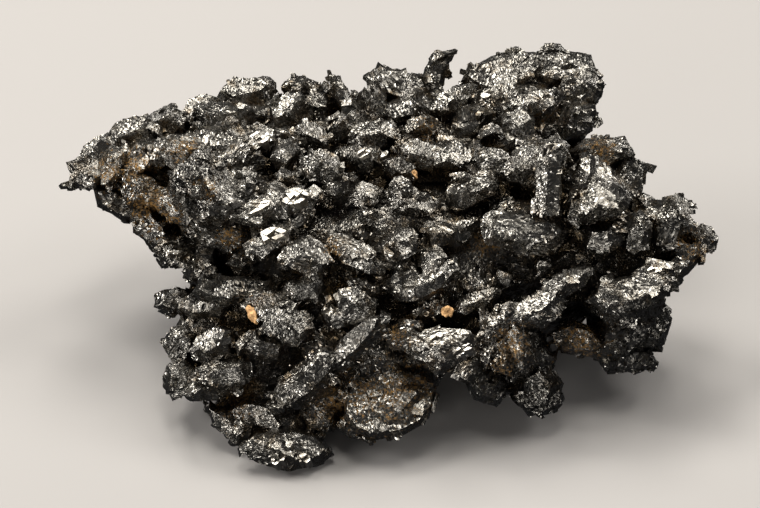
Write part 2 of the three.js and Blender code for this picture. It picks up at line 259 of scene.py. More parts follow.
def open_points(tree, skin, place, per_mm2, openness, seed):
    """Returns the node that scatters the points, and the socket with those that stay."""
    height = add_node(tree, "ShaderNodeSeparateXYZ", _0=place).outputs[2]
    above = add_node(
        tree, "FunctionNodeCompare", {"operation": "GREATER_THAN"}, _0=height, _1=FOOT_MARGIN
    )
    points = add_node(
        tree,
        "GeometryNodeDistributePointsOnFaces",
        Mesh=skin,
        Selection=above.outputs[0],
        Density=per_mm2 / MM**2,
        Seed=seed,
    )
    hollow = add_node(
        tree, "GeometryNodeInputNamedAttribute", {"data_type": "FLOAT"}, Name="hollow"
    ).outputs[0]
    crowded = add_node(
        tree,
        "FunctionNodeCompare",
        {"operation": "GREATER_THAN"},
        _0=hollow,
        _1=random_value(tree, "FLOAT", *openness, seed * 10 + 6),
    )
    thinned = add_node(
        tree,
        "GeometryNodeDeleteGeometry",
        {"domain": "POINT"},
        Geometry=points.outputs["Points"],
        Selection=crowded.outputs[0],
    )
    return points, thinned.outputs[0]


# %% A stance along the grain, with a little lean and spin
def crystal_stance(tree, points, place, lean, spin, seed):
    along = add_node(
        tree,
        "FunctionNodeAlignRotationToVector",
        {"axis": "X", "pivot_axis": "Z"},
        Rotation=points.outputs["Rotation"],
        Vector=grain_way(tree, place),
    )
    least, most = (-lean, -lean, -spin), (lean, lean, spin)
    tilt = add_node(
        tree,
        "FunctionNodeEulerToRotation",
        _0=random_value(tree, "FLOAT_VECTOR", least, most, seed * 10 + 1),
    )
    return add_node(
        tree,
        "FunctionNodeRotateRotation",
        {"rotation_space": "LOCAL"},
        _0=along.outputs[0],
        _1=tilt.outputs[0],
    ).outputs[0]


# %% Sizes, with far more small crystals than large ones
RARITY = 2.2
LEAST_STRETCH, MOST_STRETCH = (0.8, 0.6, 0.75), (1.3, 1.0, 1.15)


def crystal_size(tree, smallest, largest, seed):
    """Returns the size, and the size stretched a little to each side."""
    power = add_node(
        tree,
        "ShaderNodeMath",
        {"operation": "POWER"},
        _0=random_value(tree, "FLOAT", 0.0, 1.0, seed * 10 + 2),
        _1=RARITY,
    )
    size = add_node(
        tree, "ShaderNodeMapRange", Value=power.outputs[0], To_Min=smallest, To_Max=largest
    ).outputs[0]
    stretch = add_node(
        tree,
        "ShaderNodeVectorMath",
        {"operation": "SCALE"},
        _0=random_value(tree, "FLOAT_VECTOR", LEAST_STRETCH, MOST_STRETCH, seed * 10 + 3),
        Scale=size,
    )
    return size, stretch.outputs[0]


# %% Stand the crystals, each with its root sunk in the skin
def stand_crystals(tree, skin, kinds, per_mm2, smallest, largest, lean, spin, depth, openness, seed):
    """Returns the socket with one of the kinds on each of many scattered points."""
    place = add_node(tree, "GeometryNodeInputPosition").outputs[0]
    points, kept = open_points(tree, skin, place, per_mm2, openness, seed)
    size, stretch = crystal_size(tree, smallest, largest, seed)
    amount = add_node(tree, "ShaderNodeMath", {"operation": "MULTIPLY"}, _0=size, _1=-depth)
    sink = add_node(
        tree,
        "ShaderNodeVectorMath",
        {"operation": "SCALE"},
        _0=points.outputs["Normal"],
        Scale=amount.outputs[0],
    )
    rooted = add_node(tree, "GeometryNodeSetPosition", Geometry=kept, Offset=sink.outputs[0])
    choice = add_node(
        tree,
        "GeometryNodeCollectionInfo",
        Collection=kinds,
        Separate_Children=True,
        Reset_Children=True,
    )
    return add_node(
        tree,
        "GeometryNodeInstanceOnPoints",
        Points=rooted.outputs[0],
        Instance=choice.outputs[0],
        Pick_Instance=True,
        Instance_Index=random_value(tree, "INT", 0, len(kinds.objects) - 1, seed * 10 + 4),
        Rotation=crystal_stance(tree, points, place, lean, spin, seed),
        Scale=stretch,
    ).outputs[0]


# %% [markdown]
# ## Five crystals that stand out
# A stout upright crystal, a thin leaning blade, a broad bright block, a wide plate at the bottom
# and a block on the back crest catch the eye, so they have places of their own. A cone with
# hardly any taper is the quickest way to a prism: it has six sides, or twelve for the plate. It
# is stretched, turned and moved in its mesh, and joined in the next step. Its row gives its
# place, its three sizes in millimetres, and three angles in degrees: its roll as the camera sees
# it, its turn about its own length, and how far its top leans back.

# %% Cut the standing crystals
STANDING = [
    ((16.0, -3.5, 24.3), (7.0, 3.1, 2.2), 86, -16, 0),
    ((-4.5, 10.4, 23.0), (5.0, 1.9, 1.3), 115, 24, 0),
    ((20.8, -3.8, 22.8), (5.2, 4.6, 2.2), 92, -12, 33),
    ((0.0, -15.9, 5.5), (1.5, 10.0, 6.4), 90, 18, -74),
    ((-1.3, 12.8, 19.6), (4.6, 3.4, 2.6), 100, 10, 0),
]
picked = bmesh.new()
for place, (long, wide, thick), roll, turned, back in STANDING:
    along = picture_right * math.cos(math.radians(roll)) + picture_up * math.sin(math.radians(roll))
    facing = Matrix.Rotation(math.radians(turned), 3, along) @ towards_camera
    leaned = Matrix.Rotation(math.radians(-back), 3, picture_right)
    along, facing = leaned @ along, leaned @ facing
    axes = Matrix((facing.cross(along), facing, along)).transposed().to_4x4()
    crystal = bmesh.ops.create_cone(
        picked,
        cap_ends=True,
        segments=12 if long < wide / 3 else 6,
        radius1=0.5,
        radius2=0.45 if long < wide / 3 else 0.38,
        depth=1.0,
    )["verts"]
    bmesh.ops.scale(picked, vec=Vector((wide, thick * 1.15, long)) * MM, verts=crystal)
    bmesh.ops.transform(
        picked, matrix=Matrix.Translation(Vector(place) * MM) @ axes, verts=crystal
    )
standing = new_object("standing_crystals", bpy.data.meshes.new("standing_crystals"))
picked.to_mesh(standing.data)
picked.free()
print("standing crystals:", triangles(standing), "triangles")

# %% [markdown]
# ## Young plates on the old ones
# Between the large plates of the solid, many smaller ones stick out at all angles. They are
# grown on a copy of the solid, and a Boolean joins them to it. The Manifold solver is used
# because it is fast and every shape here is closed, which is all it asks for.

# %% Copy the solid and grow the young plates
plates = frame["nodes"]["stephanite_cluster"]
rock = new_object("plate_skin", plates.data.copy())
rock.data.materials.clear()
welder = bmesh.new()
welder.from_mesh(rock.data)
bmesh.ops.remove_doubles(welder, verts=welder.verts, dist=1e-7)
welder.to_mesh(rock.data)
welder.free()
tree, skin_in, skin_out = geometry_tree("grow_young_plates")
young = stand_crystals(
    tree,
    skin_in.outputs[0],
    tablets,
    per_mm2=0.14,
    smallest=1.4 * MM,
    largest=3.8 * MM,
    lean=0.45,
    spin=3.1,
    depth=0.16,
    openness=(1.0, 1.0),
    seed=1,
)
union = add_node(
    tree, "GeometryNodeMeshBoolean", {"operation": "UNION", "solver": "MANIFOLD"}
)
tree.links.new(skin_in.outputs[0], union.inputs["Mesh 2"])
tree.links.new(young, union.inputs["Mesh 2"])
tall = add_node(tree, "GeometryNodeObjectInfo", Object=standing)
tree.links.new(tall.outputs["Geometry"], union.inputs["Mesh 2"])
tree.links.new(union.outputs[0], skin_out.inputs[0])
rock.modifiers.new("young_plates", "NODES").node_group = tree
freeze(rock)
bpy.data.objects.remove(standing)
print("solid with young plates:", triangles(rock), "triangles")

# %% [markdown]
# ## An even net over the plates
# On the specimen no plate is smooth: its faces are stepped, pitted and ragged at the rims.
# A sculptor could work this by hand, or a bump map could fake it, but neither would give real
# pits with real shadows from every side. So the copy is remeshed into an even net of small
# faces, which the later steps push in or out. The Sharp mode keeps the plates' crisp edges.

# %% Remesh the copy
remesh = rock.modifiers.new("even_net", "REMESH")
remesh.mode = "SHARP"
remesh.octree_depth = 8
remesh.scale = 0.66
remesh.sharpness = 1.0
remesh.use_remove_disconnected = False
freeze(rock)
print("net of the skin:", triangles(rock), "triangles")

# %% [markdown]
# ## Finding the hollows
# The plates stand apart because the gaps between them are deep and black. To treat a gap
# differently, and to paint shade into it, the script must know where the gaps are. Geometry Nodes
# can look out from every point of the skin in a few dozen directions. The share of looks that hit
# rock within a few millimetres is stored as the attribute "hollow", from 0 in the open to 1 deep
# in a gap. The same tree then sinks the hollows, which parts the plates more clearly.


# %% Measure and sink the hollows
LOOKS, LOOK_REACH, LOOK_LIFT, SINK_DEPTH = 36, 4.5 * MM, 0.1 * MM, 0.22 * MM
GOLDEN_ANGLE = 2.39996
tree, skin_in, skin_out = geometry_tree("find_hollows")
here = add_node(tree, "GeometryNodeInputPosition").outputs[0]
outward = add_node(tree, "GeometryNodeInputNormal").outputs[0]
lift = add_node(tree, "ShaderNodeVectorMath", {"operation": "SCALE"}, _0=outward, Scale=LOOK_LIFT)
start = add_node(tree, "ShaderNodeVectorMath", {"operation": "ADD"}, _0=here, _1=lift.outputs[0])
blocked, looked = None, None
for look in range(LOOKS):
    height = 1 - (2 * look + 1) / LOOKS
    flat, around = math.sqrt(1 - height * height), look * GOLDEN_ANGLE
    way = (flat * math.cos(around), flat * math.sin(around), height)
    facing = add_node(tree, "ShaderNodeVectorMath", {"operation": "DOT_PRODUCT"}, _0=outward, _1=way)
    weight = add_node(
        tree, "ShaderNodeMath", {"operation": "MAXIMUM"}, _0=facing.outputs["Value"], _1=0.0
    ).outputs[0]
    ray = add_node(
        tree,
        "GeometryNodeRaycast",
        Target_Geometry=skin_in.outputs[0],
        Source_Position=start.outputs[0],
        Ray_Direction=way,
        Ray_Length=LOOK_REACH,
    )
    hit = add_node(
        tree, "ShaderNodeMath", {"operation": "MULTIPLY"}, _0=weight, _1=ray.outputs["Is Hit"]
    ).outputs[0]
    if looked is None:
        blocked, looked = hit, weight
        continue
    blocked = add_node(tree, "ShaderNodeMath", _0=blocked, _1=hit).outputs[0]
    looked = add_node(tree, "ShaderNodeMath", _0=looked, _1=weight).outputs[0]
share = add_node(tree, "ShaderNodeMath", {"operation": "DIVIDE"}, _0=blocked, _1=looked)
even = add_node(
    tree, "GeometryNodeBlurAttribute", {"data_type": "FLOAT"}, _0=share.outputs[0], Iterations=2
)
keep = add_node(
    tree,
    "GeometryNodeStoreNamedAttribute",
    {"data_type": "FLOAT", "domain": "POINT"},
    Geometry=skin_in.outputs[0],
    Name="hollow",
    Value=even.outputs[0],
)
how_deep = add_node(
    tree,
    "ShaderNodeMapRange",
    {"interpolation_type": "SMOOTHSTEP"},
    Value=even.outputs[0],
    From_Min=0.3,
    From_Max=0.75,
    To_Min=0.0,
    To_Max=-SINK_DEPTH,
)
inward = add_node(
    tree, "ShaderNodeVectorMath", {"operation": "SCALE"}, _0=outward, Scale=how_deep.outputs[0]
)
sunk = add_node(
    tree, "GeometryNodeSetPosition", Geometry=keep.outputs[0], Offset=inward.outputs[0]
)
tree.links.new(sunk.outputs[0], skin_out.inputs[0])
rock.modifiers.new("hollows", "NODES").node_group = tree
freeze(rock)
deep = [spot.value for spot in rock.data.attributes["hollow"].data]
print("mean hollow", round(sum(deep) / len(deep), 3), "share over a half",
      round(sum(value > 0.5 for value in deep) / len(deep), 3))

# %% [markdown]
# ## The rough faces
# Three Displace modifiers now push the net by procedural textures. Broad waves bend the
# plates' straight rims, steps break the faces into low terraces, and grit roughens the rest.

# %% Push waves, steps and grit into the skin
waves = bpy.data.textures.new("waves", "CLOUDS")
waves.noise_scale = 0.0019
waves.noise_depth = 2
steps = bpy.data.textures.new("steps", "VORONOI")
steps.distance_metric = "CHEBYCHEV"
steps.noise_scale = 0.0011
steps.weight_1, steps.weight_2 = -1.0, 1.0
grit = bpy.data.textures.new("grit", "CLOUDS")
grit.noise_scale = 0.0004
grit.noise_depth = 1
for texture, strength, middle in (
    (waves, 0.45 * MM, 0.5),
    (steps, 0.15 * MM, 0.35),
    (grit, 0.09 * MM, 0.5),
):
    push = rock.modifiers.new(texture.name, "DISPLACE")
    push.texture = texture
    push.texture_coords = "LOCAL"
    push.strength = strength
    push.mid_level = middle
freeze(rock)
print("skin after pushing:", triangles(rock), "triangles")

# %% Keep the foot flat
for vertex in rock.data.vertices:
    vertex.co.z = max(vertex.co.z, 0.0)
print("lowest point in mm:", min(vertex.co.z for vertex in rock.data.vertices) / MM)

# %% [markdown]
# ## The crops of small crystals
# The rough plates are now dressed with small crystals: a crop of about a millimetre, then two
# of a quarter of that. Each crop is its own object, so that no mesh grows too large to handle,
# and each starts from its own seed. A tip that would pass well above the specimen's height, or
# dip into the floor, is cut level there.


# %% Sow the crops
highest = solid_box[1][2] + 0.5 * MM


def sow(name, **stance):
    tree, skin_in, skin_out = geometry_tree(name + "_sowing")
    stood = stand_crystals(tree, skin_in.outputs[0], small_kinds, **stance)
    real = add_node(tree, "GeometryNodeRealizeInstances", _0=stood)
    tree.links.new(real.outputs[0], skin_out.inputs[0])
    crop = new_object(name, rock.data.copy())
    crop.modifiers.new("sow", "NODES").node_group = tree
    freeze(crop)
    for vertex in crop.data.vertices:
        vertex.co.z = min(max(vertex.co.z, 0.0), highest)
    print(name, triangles(crop), "triangles")
    return crop


fine = {
    "per_mm2": 1.65,
    "smallest": 0.16 * MM,
    "largest": 0.44 * MM,
    "lean": 0.14,
    "spin": 0.7,
    "depth": 0.3,
    "openness": (0.4, 1.0),
}
crops = [
    sow(
        "grown_plates",
        per_mm2=0.45,
        smallest=0.7 * MM,
        largest=1.6 * MM,
        lean=0.1,
        spin=0.4,
        depth=0.18,
        openness=(0.4, 0.9),
        seed=11,
    ),
    sow("small_crystals_a", **fine, seed=22),
    sow("small_crystals_b", **fine, seed=33),
]

# %% [markdown]
# ## The clean flats
# A few crystals broke open cleanly, or never grew a crust. Their faces are smooth and lie
# parallel, so they all flash white at once when the lamp finds them. Each flat starts as an
# uneven disc. Planes cut it as cleavage cracks do, and its parts are then thickened and tilted
# a little. Paint on the skin could show them too, but a real face keeps its edges from all sides.
# Each part stands a little proud of the skin, so its sides go down as a root into the rock.

# %% Where the flats lie: place in mm, length, width, roll in degrees
FLATS = [
    ((-13.2, -5.1, 21.6), 2.9, 1.1, 24),
    ((-9.4, -4.6, 22.4), 2.7, 1.5, 14),
    ((-11.7, -7.3, 19.7), 2.8, 1.6, 8),
    ((-8.6, -6.3, 20.4), 1.4, 0.8, 20),
    ((-11.1, -20.5, 1.5), 1.6, 1.2, 40),
    ((-8.5, -20.3, 1.6), 1.3, 1.1, 10),
    ((-10.0, -19.6, 3.0), 1.0, 0.7, 60),
    ((26.6, -8.8, 16.7), 1.6, 0.9, 10),
    ((-2.4, 2.2, 22.6), 1.5, 0.9, 30),
    ((-0.4, 5.0, 20.2), 1.2, 0.8, 10),
    ((-12.5, 3.4, 23.6), 1.5, 1.1, 20),
    ((-18.7, 6.5, 20.4), 1.5, 0.7, 60),
    ((10.3, 14.1, 20.5), 1.3, 0.9, 30),
    ((7.7, -15.6, 12.1), 1.8, 0.9, 15),
    ((4.8, -14.5, 12.9), 1.4, 0.7, 25),
]
flash = Vector((-0.23, -0.26, 0.94)).normalized()
print(len(FLATS), "clean flats")


# %% Crack a disc
PART_THICKNESS, PART_BEVEL, ROOT = 0.35 * MM, 0.02 * MM, 0.9 * MM
UNEVEN, TILT, LIFT, GAP = 0.25, 0.09, 0.05 * MM, 0.95


def wander(*numbers):
    """A repeatable number from -1 to 1."""
    return math.sin(sum((place + 1) * 12.9898 * number for place, number in enumerate(numbers)))


def cracked_disc(seed, length, width):
    """An uneven disc in parts, flat on top and closed."""
    disc = bmesh.new()
    bmesh.ops.create_circle(disc, cap_ends=True, segments=9, radius=0.5)
    for number, corner in enumerate(disc.verts):
        corner.co *= 1 + UNEVEN * wander(seed + 3, number)
    for crack in range(2 + round(length)):
        turned = 0.4 + 1.6 * (crack % 2) + 0.3 * wander(seed, crack)
        through = (0.3 * wander(crack, seed + 1), 0.3 * wander(seed + 2, crack), 0)
        bmesh.ops.bisect_plane(
            disc,
            geom=disc.verts[:] + disc.edges[:] + disc.faces[:],
            plane_co=through,
            plane_no=(math.cos(turned), math.sin(turned), 0),
        )
    bmesh.ops.scale(disc, vec=Vector((length, width, 1)) * MM, verts=disc.verts)
    bmesh.ops.split_edges(disc, edges=disc.edges)
    for number, part in enumerate(disc.faces):
        middle = part.calc_center_median()
        tilt = Euler((TILT * wander(seed, number), TILT * wander(number, seed), 0)).to_matrix()
        lift = Vector((0, 0, LIFT * wander(number, seed + 5)))
        for corner in part.verts:
            corner.co = middle + lift + tilt @ (corner.co - middle) * GAP
    bmesh.ops.recalc_face_normals(disc, faces=disc.faces)
    bmesh.ops.solidify(disc, geom=disc.faces[:], thickness=PART_THICKNESS)
    bmesh.ops.bevel(
        disc,
        geom=disc.edges,
        offset=PART_BEVEL,
        segments=1,
        affect="EDGES",
        profile=0.5,
        material=-1,
    )
    bmesh.ops.recalc_face_normals(disc, faces=disc.faces)
    half_way = sum(corner.co.z for corner in disc.verts) / len(disc.verts)
    for corner in disc.verts:
        if corner.co.z < half_way:
            corner.co.z -= ROOT
    return disc


# %% Lay the clean flats
PROUD = 0.4 * MM
all_flats = bmesh.new()
for spot, (place, length, width, roll) in enumerate(FLATS):
    way = picture_right * math.cos(math.radians(roll)) + picture_up * math.sin(math.radians(roll))
    side = (way - flash * way.dot(flash)).normalized()
    lie = Matrix((side, flash.cross(side), flash)).transposed().to_4x4()
    disc = cracked_disc(spot, length, width)
    disc.transform(Matrix.Translation(Vector(place) * MM + flash * PROUD) @ lie)
    one = bpy.data.meshes.new("one_flat")
    disc.to_mesh(one)
    disc.free()
    all_flats.from_mesh(one)
    bpy.data.meshes.remove(one)
flats = new_object("clean_flats", bpy.data.meshes.new("clean_flats"))
all_flats.to_mesh(flats.data)
all_flats.free()
print("clean flats:", triangles(flats), "triangles")

# %% Put the kinds away
for collection in (tablets, small_kinds):
    for kind in list(collection.objects):
        bpy.data.objects.remove(kind)
    bpy.data.collections.remove(collection)

# %% [markdown]
# ## Nothing hangs free
# A crystal that was stood on a rim may miss the skin after the skin was sunk, and the even net
# keeps a closed bubble or two inside. Each such crystal or bubble is an island of its mesh. The
# tree marks the points that touch the skin or lie in it, adds the marks up over each island,
# and deletes the islands that have too few.


# %% Mark the points that touch the skin
TOUCH = 0.03 * MM


def touching(tree, carrier):
    """Returns 1 where a point touches the carrier or lies in it, and 0 elsewhere."""
    skin = add_node(tree, "GeometryNodeObjectInfo", Object=carrier).outputs["Geometry"]
    here = add_node(tree, "GeometryNodeInputPosition").outputs[0]
    outward = add_node(tree, "GeometryNodeInputNormal").outputs[0]
    near = add_node(tree, "GeometryNodeProximity", {"target_element": "FACES"}, _0=skin)
    distance = near.outputs["Distance"]
    normal = add_node(
        tree,
        "GeometryNodeSampleNearestSurface",
        {"data_type": "FLOAT_VECTOR"},
        Mesh=skin,
        Value=outward,
    ).outputs[0]
    away = add_node(
        tree, "ShaderNodeVectorMath", {"operation": "SUBTRACT"}, _0=here, _1=near.outputs["Position"]
    ).outputs[0]
    height = add_node(
        tree, "ShaderNodeVectorMath", {"operation": "DOT_PRODUCT"}, _0=away, _1=normal
    ).outputs["Value"]
    # Well below the skin, and not only beside a sharp edge of it.
    below = add_node(
        tree, "ShaderNodeMath", {"operation": "MULTIPLY_ADD"}, _0=distance, _1=0.5, _2=height
    ).outputs[0]
    inside = add_node(tree, "ShaderNodeMath", {"operation": "LESS_THAN"}, _0=below, _1=0.0)
    close = add_node(tree, "ShaderNodeMath", {"operation": "LESS_THAN"}, _0=distance, _1=TOUCH)
    return add_node(
        tree,
        "ShaderNodeMath",
        {"operation": "MAXIMUM"},
        _0=inside.outputs[0],
        _1=close.outputs[0],
    ).outputs[0]


# %% Drop what hangs free
POINTS_OF_A_BUBBLE = 100.0


def drop_free(item, fewest, carrier=None):
    tree, skin_in, skin_out = geometry_tree("drop_free_" + item.name)
    mark = touching(tree, carrier) if carrier else 1.0
    island = add_node(tree, "GeometryNodeInputMeshIsland").outputs["Island Index"]
    total = add_node(tree, "GeometryNodeAccumulateField", Value=mark, Group_ID=island)
    few = add_node(
        tree, "ShaderNodeMath", {"operation": "LESS_THAN"}, _0=total.outputs["Total"], _1=fewest
    )
    kept = add_node(
        tree,
        "GeometryNodeDeleteGeometry",
        {"domain": "POINT"},
        Geometry=skin_in.outputs[0],
        Selection=few.outputs[0],
    )
    tree.links.new(kept.outputs[0], skin_out.inputs[0])
    before = triangles(item)
    item.modifiers.new("drop_free", "NODES").node_group = tree
    freeze(item)
    print(item.name, "lost", before - triangles(item), "triangles that hung free")


drop_free(rock, POINTS_OF_A_BUBBLE)
for piece in [flats, *crops]:
    drop_free(piece, 1.0, rock)

# %% [markdown]
# ## The ochre grains
# Three soft, earthy grains are lodged in the hollows. Each is a copy of its solid, rounded by
# subdividing and smoothing its mesh and roughened, so that it fills the same pocket.


# %% Round and roughen the grains
crumbs = bpy.data.textures.new("crumbs", "VORONOI")
crumbs.noise_scale = 0.00045


def lodged_grain(node):
    grain = new_object(node + "_piece", frame["nodes"][node].data.copy())
    grain.data.materials.clear()
    soft = bmesh.new()
    soft.from_mesh(grain.data)
    bmesh.ops.remove_doubles(soft, verts=soft.verts, dist=1e-7)
    bmesh.ops.subdivide_edges(soft, edges=soft.edges, cuts=7, use_grid_fill=True)
    bmesh.ops.smooth_vert(soft, verts=soft.verts, factor=0.5, use_axis_x=True,
                          use_axis_y=True, use_axis_z=True)
    soft.to_mesh(grain.data)
    soft.free()
    for texture, strength, middle in ((crumbs, 0.42 * MM, 0.5), (grit, 0.16 * MM, 0.5)):
        push = grain.modifiers.new(texture.name, "DISPLACE")
        push.texture, push.texture_coords = texture, "LOCAL"
        push.strength, push.mid_level = strength, middle
    freeze(grain)
    return grain


grains = {
    node: lodged_grain(node) for node in ("ochre_grain", "ochre_flake", "ochre_speck")
}
print("grains:", {node: triangles(grain) for node, grain in grains.items()})

# %% [markdown]
# ## Tiny facets in the finish
# Even the fine crystals carry steps smaller than any mesh should hold. This node group turns
# the skin's direction a little, by a different amount in each cell of a Voronoi pattern. Each
# cell then mirrors another part of the room, which is what a sparkle is. A second, far larger
# Voronoi pattern is the grain that the crystals were stood by. In each of its parts the cells
# are drawn out another way, and they are finer or coarser, calmer or livelier, so that the parts
# look like crystals of their own.


# %% The facets group
def group_with(name, inputs, outputs):
    group = bpy.data.node_groups.new(name, "ShaderNodeTree")
    for label, kind, value in inputs:
        socket = group.interface.new_socket(label, in_out="INPUT", socket_type=kind)
        if value is not None:
            socket.default_value = value
    for label, kind in outputs:
        group.interface.new_socket(label, in_out="OUTPUT", socket_type=kind)
    return group, group.nodes.new("NodeGroupInput"), group.nodes.new("NodeGroupOutput")


FLOAT, VECTOR = "NodeSocketFloat", "NodeSocketVector"
facets, given, made = group_with(
    "tiny_facets",
    [("Place", VECTOR, None), ("Cells per metre", FLOAT, 4000.0), ("Turn", FLOAT, 0.5)],
    [("Normal", VECTOR), ("Cell tone", FLOAT)],
)

# %% The parts of the rock, each drawn out its own way
FULL_TURN, DRAWN_OUT = 6.28, (0.3, 1.0, 0.8)
place = given.outputs["Place"]
part = add_node(facets, "ShaderNodeTexVoronoi", Vector=place, Scale=GRAIN_CELLS).outputs["Color"]
angles = add_node(facets, "ShaderNodeVectorMath", {"operation": "SCALE"}, _0=part, Scale=FULL_TURN)
laid = add_node(
    facets,
    "ShaderNodeVectorRotate",
    {"rotation_type": "EULER_XYZ"},
    Vector=place,
    Rotation=angles.outputs[0],
)
drawn_out = add_node(
    facets, "ShaderNodeVectorMath", {"operation": "MULTIPLY"}, _0=laid.outputs[0], _1=DRAWN_OUT
)
split_part = add_node(facets, "ShaderNodeSeparateColor", _0=part)


def varied(socket, channel, least, most):
    """Returns the socket's value, times another number in each part of the rock."""
    times = add_node(
        facets, "ShaderNodeMapRange", Value=split_part.outputs[channel], To_Min=least, To_Max=most
    )
    return add_node(
        facets, "ShaderNodeMath", {"operation": "MULTIPLY"}, _0=socket, _1=times.outputs[0]
    ).outputs[0]


# %% The cells, each of which turns the skin
how_many = varied(given.outputs["Cells per metre"], 0, 0.6, 1.6)
how_far = varied(given.outputs["Turn"], 1, 0.35, 1.25)
cell = add_node(
    facets, "ShaderNodeTexVoronoi", Vector=drawn_out.outputs[0], Scale=how_many
).outputs["Color"]
centred = add_node(
    facets, "ShaderNodeVectorMath", {"operation": "SUBTRACT"}, _0=cell, _1=(0.5, 0.5, 0.5)
)
turned = add_node(
    facets, "ShaderNodeVectorMath", {"operation": "SCALE"}, _0=centred.outputs[0], Scale=how_far
)
skin_way = add_node(facets, "ShaderNodeNewGeometry").outputs["Normal"]
added = add_node(
    facets, "ShaderNodeVectorMath", {"operation": "ADD"}, _0=skin_way, _1=turned.outputs[0]
)
unit = add_node(facets, "ShaderNodeVectorMath", {"operation": "NORMALIZE"}, _0=added.outputs[0])
facets.links.new(unit.outputs[0], made.inputs["Normal"])
split_tone = add_node(facets, "ShaderNodeSeparateColor", _0=cell)
facets.links.new(split_tone.outputs[0], made.inputs["Cell tone"])
print("facets group has", len(facets.nodes), "nodes")

# %% [markdown]
# ## Iron stains and patches of painted shade
# Brown and ochre iron oxide has dried in some hollows. It is a mark on the surface and not a piece,
# so it is colour only. The group gives a soft ball of colour about a centre, broken up by noise.
# The same group also shapes the near-black patches of painted shade.

# %% The group for iron stains and patches of painted shade
stain, given, made = group_with(
    "iron_stain",
    [("Place", VECTOR, None), ("Centre", VECTOR, None), ("Radius", FLOAT, 0.002)],
    [("Mask", FLOAT)],
)
place = given.outputs["Place"]
away = add_node(
    stain, "ShaderNodeVectorMath", {"operation": "DISTANCE"}, _0=place, _1=given.outputs["Centre"]
)
share = add_node(
    stain,
    "ShaderNodeMath",
    {"operation": "DIVIDE"},
    _0=away.outputs["Value"],
    _1=given.outputs["Radius"],
)
patches = add_node(
    stain, "ShaderNodeTexNoise", Vector=place, Scale=2600, Detail=6, Roughness=0.8
)
spread = add_node(
    stain,
    "ShaderNodeMapRange",
    Value=patches.outputs[0],
    From_Min=0.25,
    From_Max=0.75,
    To_Min=-1.3,
    To_Max=2.7,
)
broken = add_node(stain, "ShaderNodeMath", _0=share.outputs[0], _1=spread.outputs[0])
edge = add_node(
    stain,
    "ShaderNodeMapRange",
    {"interpolation_type": "SMOOTHSTEP"},
    Value=broken.outputs[0],
    From_Min=0.55,
    From_Max=1.0,
    To_Min=1.0,
    To_Max=0.0,
)
stain.links.new(edge.outputs[0], made.inputs["Mask"])
print("stain group has", len(stain.nodes), "nodes")

# %% [markdown]
# ## A thin film of rust
# Away from the stained spots, a film of iron oxide only warms the metal here and there. It
# gathers where the skin is hollow, because water stays there longest, and noise breaks it up.

# %% The rust group
rust, given, made = group_with(
    "thin_rust",
    [("Place", VECTOR, None), ("Hollow", FLOAT, 0.0), ("Amount", FLOAT, 0.75)],
    [("Mask", FLOAT)],
)
blotches = add_node(
    rust,
    "ShaderNodeTexNoise",
    Vector=given.outputs["Place"],
    Scale=420,
    Detail=7,
    Roughness=0.72,
)
gathered = add_node(
    rust,
    "ShaderNodeMath",
    {"operation": "MULTIPLY_ADD"},
    _0=given.outputs["Hollow"],
    _1=0.12,
    _2=blotches.outputs[0],
)
film_edge = add_node(
    rust,
    "ShaderNodeMapRange",
    {"interpolation_type": "SMOOTHSTEP"},
    Value=gathered.outputs[0],
    From_Min=0.5,
    From_Max=0.72,
)
thin = add_node(
    rust,
    "ShaderNodeMath",
    {"operation": "MULTIPLY"},
    _0=film_edge.outputs[0],
    _1=given.outputs["Amount"],
)
rust.links.new(thin.outputs[0], made.inputs["Mask"])
print("rust group has", len(rust.nodes), "nodes")

# %% [markdown]
# ## The stephanite finish
# Stephanite is an opaque mineral with a metallic shine, so its finish is a metal: dark grey
# where it mirrors the dark room and white where it mirrors a lamp. Over it go, in this order,
# painted shade in the hollows, the film of rust, a few larger near-black patches of painted shade
# and the iron stains. One function mixes them all, so that the skin, the crystals and the flats
# match where they meet.

# %% Where the iron stains and the patches of painted shade are: centre and radius in mm
SPOTS = [
    ((-25.7, 2.6, 21.0), 3.4),
    ((-24.2, -0.1, 18.0), 3.6),
    ((-20.6, 3.5, 22.3), 2.6),
    ((-28.3, 3.2, 19.2), 2.8),
    ((-22.4, -1.6, 17.6), 2.4),
    ((-18.3, -3.8, 23.2), 1.6),
    ((-16.0, -3.6, 17.0), 2.2),
    ((-15.5, -13.9, 3.9), 3.0),
    ((-5.4, -14.8, 4.6), 3.8),
    ((-2.4, -15.3, 5.4), 4.2),
    ((0.4, -15.4, 6.0), 4.2),
    ((2.6, -14.6, 6.7), 3.4),
    ((0.6, -13.9, 12.5), 2.2),
    ((12.3, -13.8, 11.8), 3.0),
    ((11.4, -15.0, 9.2), 2.0),
    ((19.3, -9.7, 8.3), 3.4),
    ((21.3, 3.0, 22.7), 2.2),
    ((30.3, -4.1, 16.2), 2.4),
    ((16.0, 10.0, 21.1), 2.2),
    ((9.7, -4.8, 16.8), 2.2),
    ((-4.4, -8.3, 13.1), 2.2),
    ((-5.4, -8.1, 19.0), 1.6),
    ((3.7, 9.1, 20.1), 2.0),
]

# Near-black patches of painted shade: the two largest darken the underside of the right foot, where
# shadow falls; the others darken parts of the left wing, the front and the right end the same way.
PAINTED_SHADE_PATCHES = [
    ((26.5, -12.5, 8.0), 8.5),
    ((14.5, -15.0, 4.0), 6.0),
    ((-5.0, -12.0, 13.0), 2.6),
    ((31.0, 3.0, 20.0), 2.5),
    ((-25.0, 0.0, 17.5), 9.0),
    ((-19.0, -3.0, 22.5), 7.5),
    ((-16.5, -4.5, 17.0), 6.0),
    ((-13.5, -8.5, 15.5), 4.0),
]


print(len(SPOTS), "stains and", len(PAINTED_SHADE_PATCHES), "painted_shade_patches")


